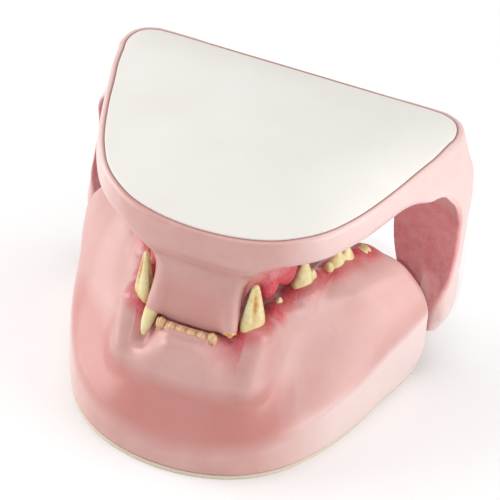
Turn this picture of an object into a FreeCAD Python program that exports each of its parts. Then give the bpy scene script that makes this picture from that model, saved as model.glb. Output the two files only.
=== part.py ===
import FreeCAD, Part
import math
import os

os.makedirs("parts", exist_ok=True)

# Cat dental model, closed: the maxilla stands on its flat base and the mandible lies on top,
# upside down, with its own flat base uppermost. Rear datum: Y is measured from the rear edge
# of the mandible's plate, incisors towards -Y, and every solid is then moved back by
# REAR_TO_ORIGIN so that the origin lies under the middle of the model. Millimetres, +Z up.
REAR_TO_ORIGIN = 35.0

# maxilla body
BASE_PLATE_T = 1.0
BASE_PLATE_INSET = 0.15
CREST_Z = 31.2
BASE_OUTLINE = [
    (38.0, -18.0), (36.6, -24.5), (35.0, -30.5), (33.3, -38.5), (31.2, -45.6),
    (28.0, -53.2), (23.5, -60.3), (17.0, -65.9), (9.0, -69.3), (0.0, -70.5),
]
CREST_OUTLINE = [
    (29.4, -18.0), (28.0, -22.5), (26.0, -27.5), (22.6, -33.0), (19.8, -39.0),
    (17.6, -45.0), (16.4, -51.0), (13.2, -58.0), (7.4, -61.9), (0.0, -62.8),
]
# height, share of the way from the base outline to the crest outline, extra width at the rear
MAXILLA_LEVELS = [
    (BASE_PLATE_T, 0.00, 0.0), (5.0, -0.03, 0.8), (9.0, 0.01, 1.7), (13.0, 0.15, 3.6),
    (17.0, 0.36, 5.6), (21.5, 0.58, 6.9), (25.5, 0.77, 6.4), (29.4, 0.94, 3.0),
    (CREST_Z, 1.06, 1.4),
]
VAULT_TOP = [
    (20.6, -8.0), (20.2, -19.0), (17.8, -27.0), (14.4, -34.0), (12.2, -41.0),
    (10.2, -48.0), (8.4, -54.0), (5.4, -57.6), (0.0, -58.8),
]
VAULT_FLOOR = [
    (15.4, -8.0), (15.0, -19.0), (13.2, -27.5), (10.6, -35.5), (8.8, -42.5),
    (7.4, -48.5), (6.2, -53.4), (3.8, -56.2), (0.0, -57.2),
]
VAULT_FLOOR_Z = 24.5
INCISOR_SHELF_Z = 29.2
INCISOR_SHELF_HALF = 9.2
INCISOR_SHELF_BACK = -51.0
# tapered groove between the third incisor and the canine in which a mandibular canine lies,
# shorter on the right, where that tooth is only a stub: foot, foot radius, head, head radius
GROOVE_LEFT = ((-9.5, -60.7, 24.9), 0.9, (-8.55, -57.6, 32.8), 1.75)
GROOVE_RIGHT = ((9.0, -58.9, 29.6), 1.3, (8.55, -57.6, 32.8), 1.75)

# mandible body
PLATE_OUTLINE = [
    (37.5, -7.0), (37.0, -9.6), (36.0, -15.0), (34.3, -21.2), (32.8, -27.0),
    (31.0, -33.0), (29.3, -38.0), (27.4, -42.4), (24.6, -47.4), (20.8, -51.6),
    (15.2, -55.6), (8.0, -58.0), (0.0, -58.8),
]
PLATE_REAR_Y = -0.2
PLATE_CORNER_X = 37.9
PLATE_STRAIGHT_X = 30.0
PLATE_BOTTOM_Z = 55.6
PLATE_TOP_Z = 57.6
SLAB_LEVELS = [(48.6, -0.8), (50.2, 0.6), (52.6, 1.5), (55.4, 1.4), (57.3, 0.8)]
CHIN_BOTTOM_Z = 30.5
BOSS_LEVELS = [
    # height, half width, front, back
    (CHIN_BOTTOM_Z, 8.4, -58.6, -52.0), (34.0, 9.0, -58.2, -50.5), (39.5, 9.4, -56.9, -48.0),
    (44.5, 11.0, -56.4, -46.0), (50.0, 13.6, -57.8, -43.0),
]
RIDGE_OUTER = [
    (19.8, -17.0), (19.0, -23.0), (17.2, -31.0), (15.0, -39.0), (13.2, -44.0), (10.8, -48.0),
]
RIDGE_INNER = [
    (14.4, -17.0), (13.4, -23.0), (12.0, -31.0), (10.4, -39.0), (8.8, -43.0), (6.6, -46.0),
]
RIDGE_BOTTOM_Z = 38.6
RIDGE_FLARE = 1.6
RIDGE_TOP_Z = 49.4
# height, inner X, outer X at the front, outer X at the back, front, back
LEG_LEVELS = [
    (8.0, 34.6, 40.4, 40.6, -13.4, -6.6), (13.5, 30.0, 41.5, 41.7, -14.0, -4.9),
    (22.0, 26.8, 42.0, 42.2, -14.2, -4.0), (34.0, 25.4, 42.0, 42.2, -14.6, -2.6),
    (43.0, 24.6, 41.0, 42.2, -15.8, -1.4), (48.0, 24.2, 37.0, 40.8, -19.4, -0.9),
    (52.0, 24.0, 33.2, 37.8, -26.0, -0.6), (55.0, 24.0, 32.4, 36.4, -27.0, -0.7),
]
LEG_CORNER_R = 2.4
HOLLOW_CENTRE = (27.0, -17.6)
HOLLOW_LEVELS = [
    # height, radius along X, radius along Y
    (6.0, 11.6, 11.2), (17.0, 12.6, 11.4), (25.0, 16.4, 12.0), (33.0, 18.8, 12.4),
    (40.0, 17.6, 12.2), (44.5, 15.0, 10.8), (47.4, 11.0, 7.6),
]

# hinge across the rear
HINGE_Y = -9.6
HINGE_Z = 16.0
ROD_R = 1.5
ROD_HALF_L = 40.4
BUSH_R = 2.4
BUSH_CLEARANCE = 0.05
BUSH_FROM_X = 35.4
BORE_FROM_X = 32.8
BUSH_TO_X = 40.6
PLUG_TO_X = 41.5
HINGE_BOSS_R = 4.0
LUG_R = 3.4
LUG_FROM_X = 20.6
LUG_TO_X = 25.4
LUG_FRONT_Y = -20.0

# teeth: name, X, Y, gum height, length along the arch, width across, crown, root, yaw
MAXILLA_TEETH = [
    ("incisor_1", 1.15, -60.4, INCISOR_SHELF_Z, 2.15, 1.7, 2.5, 3.0, 90.0),
    ("incisor_2", 3.42, -60.3, INCISOR_SHELF_Z, 2.15, 1.7, 2.5, 3.0, 90.0),
    ("incisor_3", 5.75, -60.0, INCISOR_SHELF_Z, 2.3, 1.9, 2.8, 3.4, 85.0),
    ("canine", 12.2, -54.0, CREST_Z, 6.2, 4.0, 12.2, 7.6, -24.0),
    ("premolar_2", 14.5, -44.6, CREST_Z, 2.6, 1.9, 2.2, 3.0, -14.0),
    ("premolar_3", 17.0, -36.6, CREST_Z, 6.4, 3.0, 7.2, 4.6, -28.0),
    ("premolar_4", 21.4, -27.0, CREST_Z, 8.6, 3.4, 5.8, 4.6, -24.0),
    ("molar_1", 24.6, -20.4, CREST_Z, 2.4, 3.2, 1.6, 3.0, -20.0),
]
MANDIBLE_TEETH = [
    ("incisor_1", 0.95, -56.2, CHIN_BOTTOM_Z, 1.5, 1.2, 1.5, 3.0, 90.0),
    ("incisor_2", 2.75, -56.0, CHIN_BOTTOM_Z, 1.6, 1.2, 1.6, 3.0, 90.0),
    ("incisor_3", 4.6, -55.6, CHIN_BOTTOM_Z, 1.7, 1.3, 1.7, 3.2, 85.0),
    ("premolar_3", 11.3, -44.4, RIDGE_BOTTOM_Z, 4.6, 2.4, 3.4, 4.0, -24.0),
    ("premolar_4", 13.3, -37.0, RIDGE_BOTTOM_Z, 6.0, 2.7, 4.3, 4.6, -17.0),
    ("molar_1", 15.5, -28.2, RIDGE_BOTTOM_Z, 7.6, 3.0, 5.2, 4.8, -13.0),
]
CUSPED_TEETH = ("premolar_3", "premolar_4", "molar_1")
CUSPED_FROM_LENGTH = 4.0
MAIN_CUSP_SHARE = 0.74
SIDE_CUSP_SHARE = 0.40
LOWER_CANINE_ROOT = (-7.2, -54.6, 39.5)
LOWER_CANINE_NECK = (-8.6, -57.6, 32.4)
LOWER_CANINE_TIP = (-9.4, -60.3, 26.0)
LOWER_CANINE_R = 1.4
STUB_CROWN_SHARE = 0.30
CROWN_PROFILE = [(0.0, 1.0), (0.30, 1.03), (0.66, 0.66), (1.0, 0.14)]
ROOT_SHARE = 0.78


def vec(x, y, z):
    return FreeCAD.Vector(x, y, z)


def mirrored(points):
    """The half outline (right side, rear to front) followed by its mirror (front to rear)."""
    left = [(-x, y) for x, y in reversed(points) if x > 0.0]
    return points + left


def curve_wire(points, z):
    """A smooth curve through the points, closed by a straight line across the rear."""
    nodes = [vec(x, y, z) for x, y in points]
    curve = Part.BSplineCurve()
    curve.interpolate(nodes)
    rear = Part.makeLine(nodes[-1], nodes[0])
    return Part.Wire([curve.toShape(), rear])


def offset_outline(points, amount):
    """Moves a half outline outwards along its own normals."""
    moved = []
    last = len(points) - 1
    for i, (x, y) in enumerate(points):
        ax, ay = points[max(i - 1, 0)]
        bx, by = points[min(i + 1, last)]
        if i == last:
            bx, by = -ax, ay
        length = math.hypot(bx - ax, by - ay)
        nx, ny = -(by - ay) / length, (bx - ax) / length
        moved.append((x + nx * amount, y + ny * amount) if i < last else (0.0, y - amount))
    return moved


def rounded_wire(corners, z, radius):
    """A closed outline of straight sides and rounded corners at height z."""
    points = [vec(x, y, z) for x, y in corners]
    sides = []
    for i, corner in enumerate(points):
        before, after = points[i - 1] - corner, points[(i + 1) % len(points)] - corner
        r = min(radius, 0.45 * before.Length, 0.45 * after.Length)
        sides.append((corner + before.normalize() * r, corner, corner + after.normalize() * r))
    edges = []
    for i, (start, corner, end) in enumerate(sides):
        edges.append(Part.makeLine(sides[i - 1][2], start))
        bend = Part.BezierCurve()
        bend.setPoles([start, corner, end])
        edges.append(bend.toShape())
    return Part.Wire(edges)


def rounded_box_wire(x0, x1, y0, y1, z, radius):
    return rounded_wire([(x1, y0), (x1, y1), (x0, y1), (x0, y0)], z, radius)


def incisor_step():
    """The space above the lower shelf of gum that carries the incisors."""
    half, depth, height = INCISOR_SHELF_HALF, 14.0, 4.0
    corner = vec(-half, INCISOR_SHELF_BACK - depth, INCISOR_SHELF_Z)
    return Part.makeBox(2 * half, depth, height, corner)


def x_cylinder(radius, x0, x1):
    """A cylinder on the hinge axis between two X positions."""
    return Part.makeCylinder(radius, x1 - x0, vec(x0, HINGE_Y, HINGE_Z), vec(1, 0, 0))


def mirror_x(shape):
    return shape.mirror(vec(0, 0, 0), vec(1, 0, 0))


def single(shape):
    """The one solid of a boolean result, tidied."""
    clean = shape.removeSplitter()
    return max(clean.Solids, key=lambda s: s.Volume)


def maxilla_outline(share, rear_extra):
    """A blend of the base and crest outlines, widened towards the rear."""
    blend = []
    for i, ((bx, by), (cx, cy)) in enumerate(zip(BASE_OUTLINE, CREST_OUTLINE)):
        fade = max(0.0, 1.0 - i / 4.0) ** 2
        x = bx + (cx - bx) * share + rear_extra * fade
        blend.append((x, by + (cy - by) * share))
    return blend


def maxilla_blank():
    wires = []
    for z, share, rear_extra in MAXILLA_LEVELS:
        wires.append(curve_wire(mirrored(maxilla_outline(share, rear_extra)), z))
    return Part.makeLoft(wires, True, False)


def palate_vault():
    """The hollow of the palate, open at the rear."""
    over = CREST_Z + 2.0
    mid = 0.5 * (VAULT_FLOOR_Z + CREST_Z)
    middle = [(0.35 * a + 0.65 * c, 0.35 * b + 0.65 * d)
              for (a, b), (c, d) in zip(VAULT_FLOOR, VAULT_TOP)]
    wires = [
        curve_wire(mirrored(VAULT_FLOOR), VAULT_FLOOR_Z),
        curve_wire(mirrored(middle), mid),
        curve_wire(mirrored(VAULT_TOP), over),
    ]
    return Part.makeLoft(wires, True, False)


def hinge_lug():
    """A tab on the rear of the maxilla with its end rounded about the hinge rod."""
    width = LUG_TO_X - LUG_FROM_X
    tab = Part.makeBox(width, HINGE_Y - LUG_FRONT_Y, 2 * LUG_R,
                       vec(LUG_FROM_X, LUG_FRONT_Y, HINGE_Z - LUG_R))
    return tab.fuse(x_cylinder(LUG_R, LUG_FROM_X, LUG_TO_X))


def groove(foot, foot_r, head, head_r):
    """A tapered round bar between two points with a round foot."""
    a, b = vec(*foot), vec(*head)
    bar = Part.makeCone(foot_r, head_r, (b - a).Length, a, b - a)
    return bar.fuse(Part.makeSphere(foot_r, a))


def ellipse_wire(half_long, half_wide, z):
    """An ellipse about Z with its length along Y or X, whichever is longer."""
    if half_wide > half_long:
        edge = Part.Ellipse(vec(half_wide, 0, z), vec(0, half_long, z), vec(0, 0, z)).toShape()
    else:
        edge = Part.Ellipse(vec(0, half_long, z), vec(-half_wide, 0, z), vec(0, 0, z)).toShape()
    return Part.Wire([edge])


def crown(length, width, height):
    """A pointed crown standing on Z = 0."""
    wires = []
    for level, share in CROWN_PROFILE:
        wires.append(ellipse_wire(0.5 * length * share, 0.5 * width * share, level * height))
    return Part.makeLoft(wires, True, False)


def root_peg(length, width, root):
    """The straight oval root that fills the socket below Z = 0."""
    outline = ellipse_wire(0.5 * length * ROOT_SHARE, 0.5 * width * ROOT_SHARE, -root)
    return Part.Face(outline).extrude(vec(0, 0, root))


def seat(shape, spec, upwards):
    """Turns a tooth or its root to its place in the jaw."""
    name, x, y, gum_z, length, width, height, root, yaw = spec
    if not upwards:
        shape = shape.mirror(vec(0, 0, 0), vec(0, 0, 1))
    shape.rotate(vec(0, 0, 0), vec(0, 0, 1), yaw)
    return shape.translated(vec(x, y, gum_z))


def socket(spec, upwards):
    length, width, root = spec[4], spec[5], spec[7]
    return seat(root_peg(length, width, root), spec, upwards)


def tooth(spec, upwards):
    """One right-hand tooth; cheek teeth get a lower cusp before and behind the main one."""
    name, x, y, gum_z, length, width, height, root, yaw = spec
    if name in CUSPED_TEETH and length > CUSPED_FROM_LENGTH:
        body = crown(MAIN_CUSP_SHARE * length, width, height)
        cusp = crown(SIDE_CUSP_SHARE * length, 0.84 * width, 0.5 * height)
        step = 0.5 * (1.0 - SIDE_CUSP_SHARE) * length
        for side in (-step, step):
            body = body.fuse(cusp.translated(vec(0, side, 0)))
    else:
        body = crown(length, width, height)
    return single(seat(body.fuse(root_peg(length, width, root)), spec, upwards))


def lower_canine(crown_share):
    """The left mandibular canine, which leans outwards and forwards as it comes down."""
    root, neck, tip = vec(*LOWER_CANINE_ROOT), vec(*LOWER_CANINE_NECK), vec(*LOWER_CANINE_TIP)
    wires = []
    for share, radius in ((-1.0, 0.6), (0.0, 1.0), (0.35, 0.94), (0.7, 0.70), (1.0, 0.36)):
        if share > crown_share:
            continue
        centre = neck + (neck - root) * share if share < 0.0 else neck + (tip - neck) * share
        wires.append(Part.Wire([Part.makeCircle(LOWER_CANINE_R * radius, centre, tip - neck)]))
    if crown_share < 1.0:
        centre = neck + (tip - neck) * crown_share
        wires.append(Part.Wire([Part.makeCircle(LOWER_CANINE_R * 0.9, centre, tip - neck)]))
    return Part.makeLoft(wires, True, False)


def plate_wire(z, grow):
    """The plate's outline, grown evenly: curved sides, wide rear corners and a straight rear."""
    points = mirrored(offset_outline(PLATE_OUTLINE, grow))
    nodes = [vec(x, y, z) for x, y in points]
    sides = Part.BSplineCurve()
    sides.interpolate(nodes)
    rear_y, corner_x = PLATE_REAR_Y + 0.8 * grow, PLATE_CORNER_X + grow
    edges = [sides.toShape()]
    ends = []
    for sign, node in ((-1.0, nodes[-1]), (1.0, nodes[0])):
        end = vec(sign * PLATE_STRAIGHT_X, rear_y, z)
        bend = Part.BezierCurve()
        bend.setPoles([node, vec(sign * corner_x, rear_y, z), end])
        edges.append(bend.toShape())
        ends.append(end)
    edges.append(Part.makeLine(ends[0], ends[1]))
    return Part.Wire(Part.sortEdges(edges)[0])


def slab():
    return Part.makeLoft([plate_wire(z, grow) for z, grow in SLAB_LEVELS], True, False)


def plate_blank():
    rise = vec(0, 0, PLATE_TOP_Z - PLATE_BOTTOM_Z)
    return Part.Face(plate_wire(PLATE_BOTTOM_Z, 0.0)).extrude(rise)


def chin_boss():
    wires = []
    for z, half, front, back in BOSS_LEVELS:
        wires.append(rounded_box_wire(-half, half, front, back, z, 2.6))
    return Part.makeLoft(wires, True, False)


def ridge():
    """The right-hand tooth ridge hanging from the slab, wider towards the slab."""
    wires = []
    for z, flare in ((RIDGE_BOTTOM_Z, 0.0), (42.0, 0.5), (RIDGE_TOP_Z, RIDGE_FLARE)):
        outer = [vec(x + flare, y, z) for x, y in RIDGE_OUTER]
        inner = [vec(x - flare, y, z) for x, y in reversed(RIDGE_INNER)]
        side_a, side_b = Part.BSplineCurve(), Part.BSplineCurve()
        side_a.interpolate(outer)
        side_b.interpolate(inner)
        wires.append(Part.Wire([
            side_a.toShape(), Part.makeLine(outer[-1], inner[0]),
            side_b.toShape(), Part.makeLine(inner[-1], outer[0]),
        ]))
    return Part.makeLoft(wires, True, False)


def leg():
    """The right-hand ramus: a wall round the rear corner, hollowed from inside."""
    wires = []
    for z, inner, outer_front, outer_back, front, back in LEG_LEVELS:
        corners = [(outer_front, front), (outer_back, back), (inner, back), (inner, front)]
        wires.append(rounded_wire(corners, z, LEG_CORNER_R))
    body = Part.makeLoft(wires, True, False)
    cx, cy = HOLLOW_CENTRE
    rings = []
    for z, radius_x, radius_y in HOLLOW_LEVELS:
        ring = ellipse_wire(radius_y, radius_x, z)
        rings.append(ring.translated(vec(cx, cy, 0)))
    body = body.cut(Part.makeLoft(rings, True, False))
    return body.fuse(x_cylinder(HINGE_BOSS_R, BUSH_FROM_X, 0.5 * (BUSH_TO_X + PLUG_TO_X)))


def export(name, shape):
    shape.translated(vec(0, REAR_TO_ORIGIN, 0)).exportStep("parts/%s.step" % name)


def tooth_row(jaw, specs, upwards):
    """The teeth of one jaw by node name, and the sockets to cut for them."""
    teeth, sockets = {}, []
    for spec in specs:
        piece, hole = tooth(spec, upwards), socket(spec, upwards)
        teeth["%s_right_%s" % (jaw, spec[0])] = piece
        teeth["%s_left_%s" % (jaw, spec[0])] = mirror_x(piece)
        sockets += [hole, mirror_x(hole)]
    return teeth, sockets


def build():
    upper, upper_sockets = tooth_row("maxilla", MAXILLA_TEETH, True)
    lower, lower_sockets = tooth_row("mandible", MANDIBLE_TEETH, False)
    canines = [lower_canine(1.0), mirror_x(lower_canine(STUB_CROWN_SHARE))]
    lower["mandible_left_canine"], lower["mandible_right_canine_stub"] = canines

    rod = x_cylinder(ROD_R, -ROD_HALF_L, ROD_HALF_L)
    lug = hinge_lug()
    body = maxilla_blank().cut(palate_vault()).cut(incisor_step())
    body = body.fuse(lug).fuse(mirror_x(lug)).cut(rod)
    body = body.cut(groove(*GROOVE_LEFT)).cut(groove(*GROOVE_RIGHT))
    body = body.cut(Part.makeCompound(upper_sockets))
    export("maxilla_gum_body", single(body))

    base = offset_outline(BASE_OUTLINE, -BASE_PLATE_INSET)
    base_face = Part.Face(curve_wire(mirrored(base), 0.0))
    export("maxilla_base_plate", base_face.extrude(vec(0, 0, BASE_PLATE_T)))
    export("hinge_rod", rod)

    plate = plate_blank()
    bush_bore = x_cylinder(BUSH_R, BORE_FROM_X, PLUG_TO_X + 2.0)
    jaw = slab().fuse(chin_boss())
    for side in (leg(), ridge()):
        jaw = jaw.fuse(side).fuse(mirror_x(side))
    jaw = jaw.cut(plate).cut(bush_bore).cut(mirror_x(bush_bore))
    jaw = jaw.cut(Part.makeCompound(lower_sockets)).cut(Part.makeCompound(canines))
    export("mandible_gum_body", single(jaw))
    export("mandible_base_plate", plate)

    bush = x_cylinder(BUSH_R, BUSH_FROM_X, BUSH_TO_X)
    bush = bush.cut(x_cylinder(ROD_R + BUSH_CLEARANCE, BUSH_FROM_X - 1.0, BUSH_TO_X + 1.0))
    plug = x_cylinder(BUSH_R, BUSH_TO_X, PLUG_TO_X)
    for name, piece in (("hinge_bush", bush), ("hinge_plug", plug)):
        export(name + "_right", piece)
        export(name + "_left", mirror_x(piece))
    for name, piece in list(upper.items()) + list(lower.items()):
        export(name, piece)


build()
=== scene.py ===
import math

import bpy
import numpy as np
from mathutils import Matrix, Vector


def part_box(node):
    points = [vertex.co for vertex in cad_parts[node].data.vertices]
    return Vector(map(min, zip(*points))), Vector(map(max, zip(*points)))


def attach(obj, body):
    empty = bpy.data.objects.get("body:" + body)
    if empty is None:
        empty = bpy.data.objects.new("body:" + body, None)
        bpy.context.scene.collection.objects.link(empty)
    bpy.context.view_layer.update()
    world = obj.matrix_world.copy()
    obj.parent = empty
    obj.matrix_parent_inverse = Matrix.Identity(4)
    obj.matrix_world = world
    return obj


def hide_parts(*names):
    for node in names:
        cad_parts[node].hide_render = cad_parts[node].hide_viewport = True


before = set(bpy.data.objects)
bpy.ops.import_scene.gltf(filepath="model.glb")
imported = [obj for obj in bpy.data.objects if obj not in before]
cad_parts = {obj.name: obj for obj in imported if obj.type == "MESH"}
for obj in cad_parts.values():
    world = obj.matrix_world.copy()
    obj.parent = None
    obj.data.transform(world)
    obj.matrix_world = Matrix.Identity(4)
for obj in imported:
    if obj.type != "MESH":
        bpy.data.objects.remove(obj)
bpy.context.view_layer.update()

# Cat dental model, closed: the maxilla stands on its base card and the mandible lies on top of
# it, upside down. Soft forms are signed distance fields in millimetres on a regular grid, with
# Y counted from the rear edge of the white plate and the incisors towards -Y. Meshes are made
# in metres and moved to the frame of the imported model.
MM = 0.001
FAR = 50.0


def box_mm(node):
    low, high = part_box(node)
    return np.array(low) / MM, np.array(high) / MM


PLATE_REAR_GAP = 0.2
REAR_Y = box_mm("mandible_base_plate")[1][1] + PLATE_REAR_GAP
CREST_Z = 31.2
SHELF_Z = 30.0
CARD_TOP_Z = box_mm("maxilla_base_plate")[1][2]
PLATE_LOW_Z, PLATE_TOP_Z = (corner[2] for corner in box_mm("mandible_base_plate"))
CHIN_Z = 30.3
RIDGE_Z = 38.6
SLAB_LOW_Z = 48.6
RIM_Z = PLATE_TOP_Z - 0.25
HINGE_Y = 0.5 * (box_mm("hinge_rod")[0][1] + box_mm("hinge_rod")[1][1]) - REAR_Y
HINGE_Z = 0.5 * (box_mm("hinge_rod")[0][2] + box_mm("hinge_rod")[1][2])

MAXILLA_CENTRE = (0.0, -12.0)
MAXILLA_REAR_Y = -18.0
BASE_OUTLINE = [
    (38.0, -18.0), (36.6, -24.5), (35.0, -30.5), (33.3, -38.5), (31.2, -45.6),
    (28.0, -53.2), (23.5, -60.3), (17.0, -65.9), (9.0, -69.3), (0.0, -70.5),
]
CREST_OUTLINE = [
    (29.4, -18.0), (28.0, -22.5), (26.0, -27.5), (22.6, -33.0), (19.8, -39.0),
    (17.6, -45.0), (16.4, -51.0), (13.2, -58.0), (7.4, -61.9), (0.0, -62.8),
]
VAULT_TOP = [
    (20.6, -8.0), (20.2, -19.0), (17.8, -27.0), (14.4, -34.0), (12.2, -41.0),
    (10.2, -48.0), (8.4, -54.0), (5.4, -57.6), (0.0, -58.8),
]
VAULT_FLOOR = [
    (15.4, -8.0), (15.0, -19.0), (13.2, -27.5), (10.6, -35.5), (8.8, -42.5),
    (7.4, -48.5), (6.2, -53.4), (3.8, -56.2), (0.0, -57.2),
]
VAULT_FLOOR_Z = 24.5
SHELF_HALF = 9.2
SHELF_BACK_Y, SHELF_FRONT_Y = -51.0, -66.0
# swellings over the roots: crown end, root end, their radii, fillet
EMINENCES = [
    ((12.7, -55.4, 29.4), (13.6, -58.6, 21.0), 2.8, 3.2, 5.0),
    ((17.6, -37.0, 30.6), (20.2, -37.6, 24.0), 1.8, 1.2, 3.0),
    ((22.2, -27.2, 30.6), (25.4, -28.0, 23.5), 2.0, 1.4, 3.5),
]
# grooves for the mandibular canines: foot, foot radius, head, head radius
GROOVES = [
    ((-9.5, -60.7, 24.9), 0.9, (-8.55, -57.6, 32.8), 1.75),
    ((9.0, -58.4, 31.4), 0.9, (8.55, -57.6, 33.0), 1.75),
]
# where the gum falls away in front of each canine: centre, radii
FALLS = [((-12.0, -64.4, 29.8), (6.6, 6.2, 5.8)), ((12.2, -64.2, 32.0), (6.4, 5.8, 5.2))]
LUG_FROM, LUG_TO, LUG_R = 20.6, 25.4, 3.4

MANDIBLE_CENTRE = (0.0, -22.0)
PLATE_REAR = [(0.01, -0.2), (15.0, -0.2), (30.0, -0.2), (33.4, -0.6), (35.8, -1.9), (37.1, -4.1)]
PLATE_LAP = 0.4
PLATE_OUTLINE = PLATE_REAR + [
    (37.5, -7.0), (37.0, -9.6), (36.0, -15.0), (34.3, -21.2), (32.8, -27.0),
    (31.0, -33.0), (29.3, -38.0), (27.4, -42.4), (24.6, -47.4), (20.8, -51.6),
    (15.2, -55.6), (8.0, -58.0), (0.0, -58.8),
]
# height, growth of the slab's outline beyond the plate's
SLAB_LEVELS = [(48.6, -0.6), (50.2, 0.6), (52.6, 1.5), (55.4, 1.5), (57.6, 1.1)]
# height, how far inside the plate's outline a leg stays there
LEG_INSET = [(44.0, -9.0), (49.0, -4.6), (52.5, -2.6), (55.5, -0.8), (58.0, 0.6)]
# height, half width, front, back
CHIN_LEVELS = [
    (30.5, 8.4, -58.6, -52.0), (34.0, 9.0, -58.2, -50.5), (39.5, 9.4, -56.9, -48.0),
    (44.5, 11.0, -56.4, -46.0), (50.0, 13.6, -57.8, -43.0),
]
# height, how far inside the plate's outline the chin stays there
CHIN_INSET = [(40.0, -8.0), (47.0, -2.0), (51.0, 0.8), (58.0, 4.0)]
RIDGE_LINE = [
    (17.1, -17.0), (16.2, -23.0), (14.6, -31.0), (12.7, -39.0), (11.0, -43.5), (8.7, -47.0),
]
RIDGE_HALF = 2.7
# height, inner X, outer X at the front, outer X at the back, front, back
LEG_LEVELS = [
    (8.0, 34.6, 40.4, 40.6, -13.4, -6.6), (13.5, 30.0, 41.5, 41.7, -14.0, -4.9),
    (22.0, 26.8, 42.0, 42.2, -14.2, -4.0), (34.0, 25.4, 42.0, 42.2, -14.6, -2.6),
    (43.0, 24.6, 41.0, 42.2, -15.8, -1.4), (48.0, 24.2, 37.0, 41.8, -19.4, -0.9),
    (52.0, 24.0, 32.8, 40.8, -26.0, -0.6), (55.0, 24.0, 31.6, 39.6, -27.0, -0.7),
]
HOLLOW_CENTRE = (27.0, -17.6)
# height, radius along X, radius along Y
HOLLOW_LEVELS = [
    (6.0, 11.6, 11.2), (17.0, 12.6, 11.4), (25.0, 16.4, 12.0), (33.0, 18.8, 12.4),
    (40.0, 17.6, 12.2), (44.5, 15.0, 10.8), (47.4, 11.0, 7.6), (49.2, 3.0, 2.4),
]
# bulges of inflamed gum between the cheek teeth: centre, radii
MAXILLA_BULGES = [
    ((14.4, -47.6, 30.6), (1.5, 3.0, 1.7)), ((18.4, -33.4, 31.2), (1.9, 2.4, 2.0)),
    ((22.8, -22.6, 30.8), (1.8, 2.0, 1.6)),
]
MANDIBLE_BULGES = [
    ((11.9, -45.4, 37.0), (2.3, 3.2, 3.8)), ((13.8, -39.6, 37.0), (2.1, 3.4, 3.6)),
    ((15.3, -33.2, 37.2), (1.9, 3.0, 3.2)),
]
MAXILLA_BULGE_RED_MM = 3.0
MANDIBLE_BULGE_RED_MM = 4.6
LOWER_CANINE_ROOT = (7.2, -54.6, 39.5)
LOWER_CANINE_NECK = (8.6, -57.6, 32.4)
LOWER_CANINE_TIP = (9.4, -60.3, 26.0)
LOWER_CANINE_R = 1.4

# tooth: length along the arch, width across, turn of its length about Z, gum level
MAXILLA_TEETH = {
    "incisor_1": (2.3, 2.0, 90.0, SHELF_Z), "incisor_2": (2.3, 2.0, 90.0, SHELF_Z),
    "incisor_3": (2.1, 1.9, 85.0, SHELF_Z), "canine": (6.2, 4.0, -24.0, CREST_Z),
    "premolar_2": (2.6, 1.9, -14.0, CREST_Z), "premolar_3": (7.2, 3.6, -28.0, CREST_Z),
    "premolar_4": (8.6, 3.4, -24.0, CREST_Z), "molar_1": (2.4, 3.2, -20.0, CREST_Z),
}
MANDIBLE_TEETH = {
    "incisor_1": (1.5, 1.2, 90.0, CHIN_Z), "incisor_2": (1.6, 1.2, 90.0, CHIN_Z),
    "incisor_3": (1.7, 1.3, 85.0, CHIN_Z), "premolar_3": (4.6, 2.4, -24.0, RIDGE_Z),
    "premolar_4": (6.0, 2.7, -17.0, RIDGE_Z), "molar_1": (7.6, 3.0, -13.0, RIDGE_Z),
}


# ---- fields

def soft_min(a, b, blend):
    """The smaller of two distances, with a fillet where they are within blend of each other."""
    low = np.minimum(a, b)
    if blend <= 0.0:
        return low
    near = np.maximum(blend - np.abs(a - b), 0.0)
    return low - near * near / (4.0 * blend)


def soft_max(a, b, blend):
    return -soft_min(-a, -b, blend)


def fade(value, width):
    """Rises from 0 to 1 as the value goes from 0 to width."""
    return np.clip(value / width, 0.0, 1.0)


EVERYWHERE = (-math.inf,) * 3, (math.inf,) * 3


class Field:
    """Distances to a surface on a regular grid, negative inside the solid."""

    def __init__(self, low, high, step):
        self.step = step
        self.low = np.array(low, float)
        self.axes = []
        for a, b in zip(low, high):
            self.axes.append(a + step * np.arange(int(math.ceil((b - a) / step)) + 1))
        self.value = np.full([len(axis) for axis in self.axes], FAR, np.float32)

    def window(self, low, high):
        """The slices of the grid between two corners, and the coordinates there."""
        cut, coordinates = [], []
        for i, axis in enumerate(self.axes):
            first, last = np.searchsorted(axis, (low[i], high[i]))
            cut.append(slice(first, last))
            shape = [1, 1, 1]
            shape[i] = last - first
            coordinates.append(axis[first:last].astype(np.float32).reshape(shape))
        return tuple(cut), coordinates

    def apply(self, combine, shape, low, high, blend, pair=False):
        """Combines the grid with a shape, and with its mirror image too if it is one of a pair."""
        cut, (x, y, z) = self.window(low, high)
        self.value[cut] = combine(self.value[cut], shape(x, y, z), blend)
        if pair:
            low, high = (-high[0], low[1], low[2]), (-low[0], high[1], high[2])
            self.apply(combine, lambda x, y, z: shape(-x, y, z), low, high, blend)

    def join(self, shape, low, high, blend, pair=False):
        self.apply(soft_min, shape, low, high, blend, pair)

    def cut(self, shape, low, high, blend, pair=False):
        self.apply(lambda a, b, k: soft_max(a, -b, k), shape, low, high, blend, pair)

    def limit(self, shape, blend):
        """Keeps only what is inside the shape too."""
        self.apply(soft_max, shape, *EVERYWHERE, blend)

    def even_out(self):
        """Rescales the values so that they change by about one millimetre in a millimetre."""
        slopes = np.gradient(self.value, self.step)
        size = np.sqrt(sum(s * s for s in slopes))
        self.value /= np.clip(size, 0.4, 4.0)


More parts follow.
